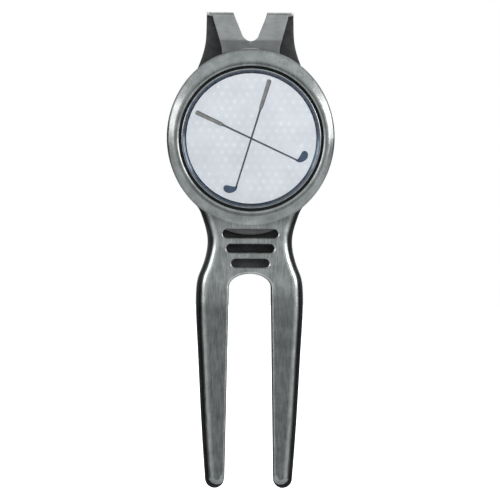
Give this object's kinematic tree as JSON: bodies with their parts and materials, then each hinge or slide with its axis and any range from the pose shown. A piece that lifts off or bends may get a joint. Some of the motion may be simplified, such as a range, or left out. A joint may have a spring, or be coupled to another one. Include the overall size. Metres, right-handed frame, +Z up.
{
  "type": "divot repair tool",
  "caption": "Golfer's turf fork with a round head, a magnetic ball marker under a clear dome, and a sprung belt clip on its back.",
  "frame": {"origin": "saddle inside the clip's fold, where the edge of a belt or pocket rests", "axes": "+Z up along the tool, from the prong tips to the clip; +Y from the front face to the clip's back; +X across, to the right seen from the front"},
  "size_m": [0.03, 0.0075, 0.0853],
  "materials": {
    "fork_metal": "satin antique nickel over cast zinc, fine vertical brushing",
    "magnet": "bright nickel",
    "clip_steel": "satin nickel over spring steel, bright sheared edges",
    "rivet_steel": "satin nickel",
    "coin_steel": "dark polished nickel",
    "printed_insert": "white printed film with a faint dimple pattern",
    "clear_dome": "clear cast resin"
  },
  "bodies": {
    "fork": {"fork_body": "fork_metal", "marker_magnet": "magnet", "clip_fixed_leaf": "clip_steel", "clip_fold": "clip_steel", "rivet_upper": "rivet_steel", "rivet_lower": "rivet_steel"},
    "clip_leaf": {"clip_free_leaf": "clip_steel"},
    "marker": {"marker_coin": "coin_steel", "marker_insert": "printed_insert", "marker_dome": "clear_dome"}
  },
  "joints": [
    {"name": "clip_flex", "type": "hinge", "parent": "fork", "child": "clip_leaf", "pos_m": [0, 0, -0.0005], "axis": [1, 0, 0], "range_deg": [0, 8], "stiffness_Nm_per_rad": 1.5, "deforming": ["clip_fold"]},
    {"name": "marker_lift", "type": "slide", "parent": "fork", "child": "marker", "axis": [0, -1, 0], "range_m": [0, 0.012]}
  ]
}
